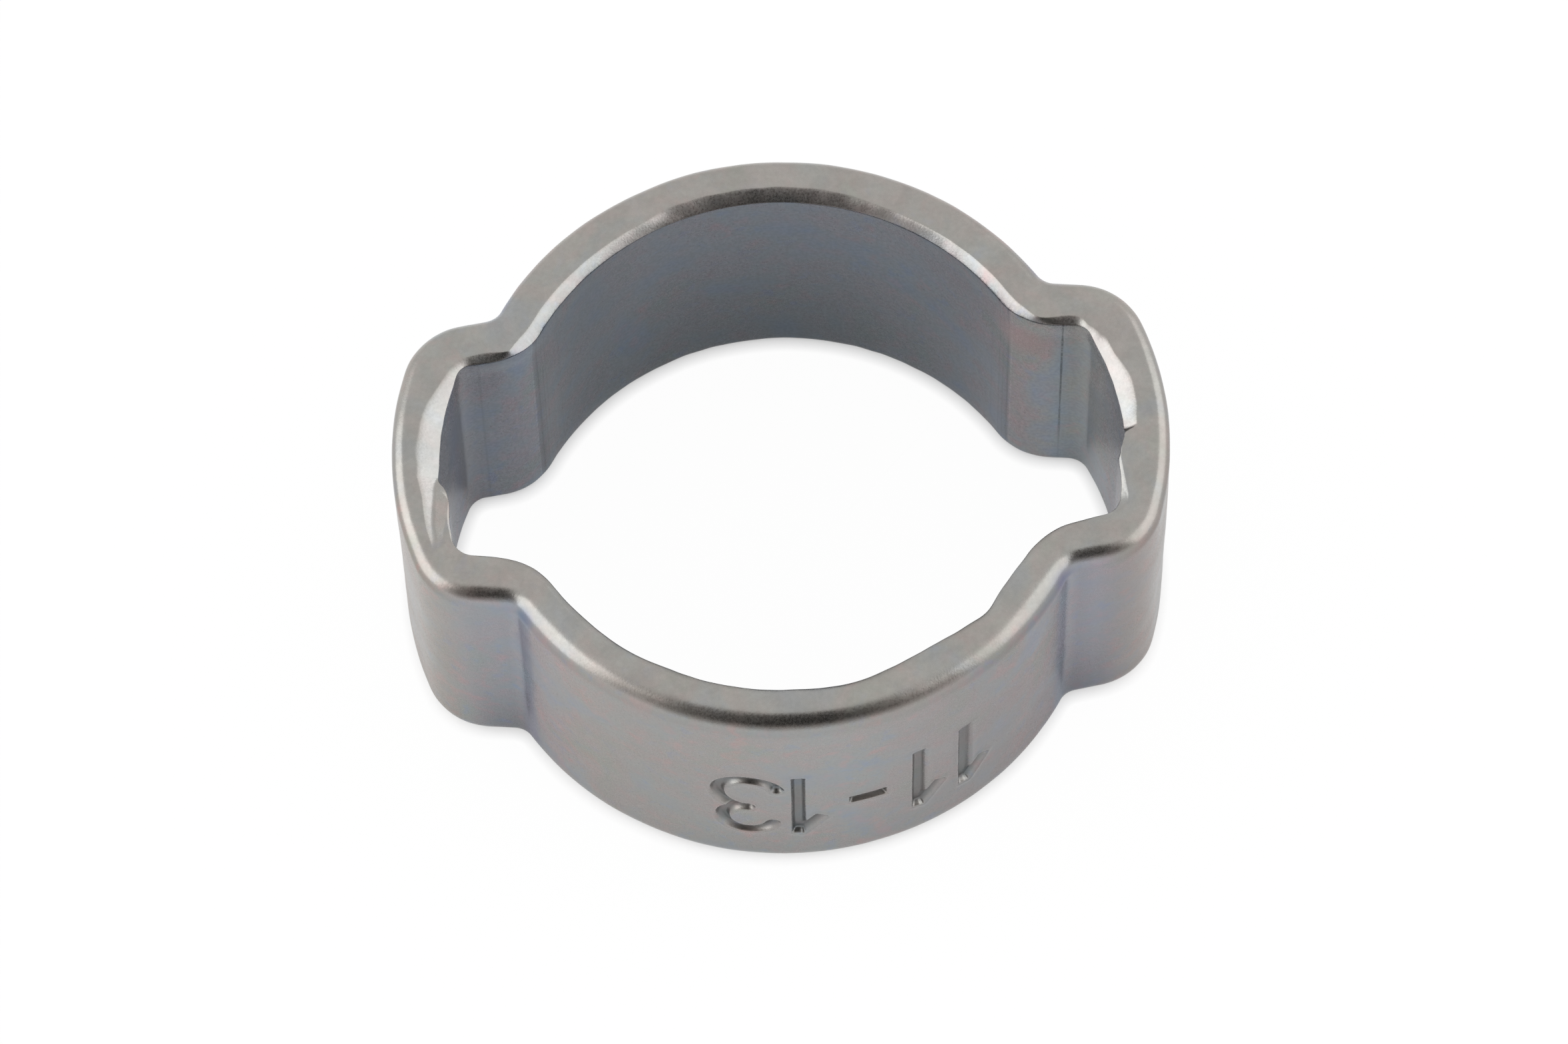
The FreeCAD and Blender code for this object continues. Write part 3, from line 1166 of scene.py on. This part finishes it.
def gridObject(name, width, height):
    bm = bmesh.new()
    bmesh.ops.create_grid(bm, x_segments=1, y_segments=1, size=0.5)
    bmesh.ops.scale(bm, vec=(width, height, 1), verts=bm.verts[:])
    mesh = bpy.data.meshes.new(name)
    bm.to_mesh(mesh)
    bm.free()
    made = addObject(name, mesh)
    return made


def addFloor():
    table = gridObject("table", stage["floorSize"], stage["floorSize"])
    material, tree, shader = newMaterial("paleTable")
    shader.inputs["Base Color"].default_value = stage["floorColour"]
    shader.inputs["Roughness"].default_value = stage["floorRoughness"]
    shader.inputs["Specular IOR Level"].default_value = 0
    glow = addNode(tree, "Emission", {"Color": (1, 1, 1, 1), "Strength": 1})
    # painted contact shadow: ambient occlusion dims the floor's glow near the band, and its lit shade
    # shows there
    contact = stage["contact"]
    hidden = addNode(tree, "AmbientOcclusion", {"Distance": contact["reach"]},
                     samples=contact["samples"])
    bare = addRange(hidden.outputs["AO"], *contact["open"], contact["dim"], 1)
    lift = addTimes(shownRays(tree, **stage["floorLift"]), bare)
    mixSurfaces(tree, lift, shader.outputs[0], glow.outputs[0], "Material Output")
    table.data.materials.append(material)


def addCard():
    # dark card in front, seen only in the metal, that fades to its sides and its foot
    values = stage["card"]
    card = gridObject("darkCard", values["width"], values["height"])
    centre = towards(0, values["up"], values["distance"])
    turn = (-centre).to_track_quat("-Z", "Y").to_matrix()
    card.data.transform(Matrix.Translation(centre) @ turn.to_4x4())
    material, tree, shader = newMaterial("darkFelt")
    shader.inputs["Base Color"].default_value = values["colour"]
    shader.inputs["Roughness"].default_value = 1
    shader.inputs["Specular IOR Level"].default_value = 0
    coordinates = addNode(tree, "TexCoord")
    split = addNode(tree, "SeparateXYZ")
    plug(split.inputs, coordinates.outputs["Object"])
    x, y, z = split.outputs
    front = addTimes(y, -1)
    roundTurn = addMath("ARCTAN2", x, addMath("MAXIMUM", front, values["nearest"]))
    share = addMath("MULTIPLY_ADD", roundTurn, 1 / math.pi, 0.5)
    stops = [(angle / 180 + 0.5, (dark, dark, dark)) for angle, dark in values["sides"]]
    away = addMath("SQRT", addMath("ADD", addTimes(x, x), addTimes(y, y)))
    upTurn = addMath("ARCTAN2", z, away)
    low, high = (math.radians(angle) for angle in values["foot"])
    dark = addTimes(addRamp(share, stops), addRange(upTurn, low, high),
                    addRange(front, *values["top"]))
    clear = addNode(tree, "BsdfTransparent")
    plug(clear.inputs, addMix(dark, (1, 1, 1, 1), values["fringe"]))
    mixSurfaces(tree, dark, clear.outputs[0], shader.outputs[0], "Material Output")
    card.data.materials.append(material)
    card.visible_camera = False
    card.visible_diffuse = False
    card.visible_shadow = False


def addWorld():
    world = bpy.data.worlds.new("paleRoom")
    world.use_nodes = True
    tree = world.node_tree
    background = tree.nodes["Background"]
    background.inputs["Color"].default_value = (1, 1, 1, 1)
    background.inputs["Strength"].default_value = stage["worldRadiance"]
    shown = addNode(tree, "Background", {"Color": (1, 1, 1, 1), "Strength": 1})
    mixSurfaces(tree, shownRays(tree), background.outputs[0], shown.outputs[0], "World Output")
    bpy.context.scene.world = world


addCamera()
addLamp("left")
addLamp("right")
addFloor()
addCard()
addWorld()
bpy.context.scene.view_settings.view_transform = "Standard"
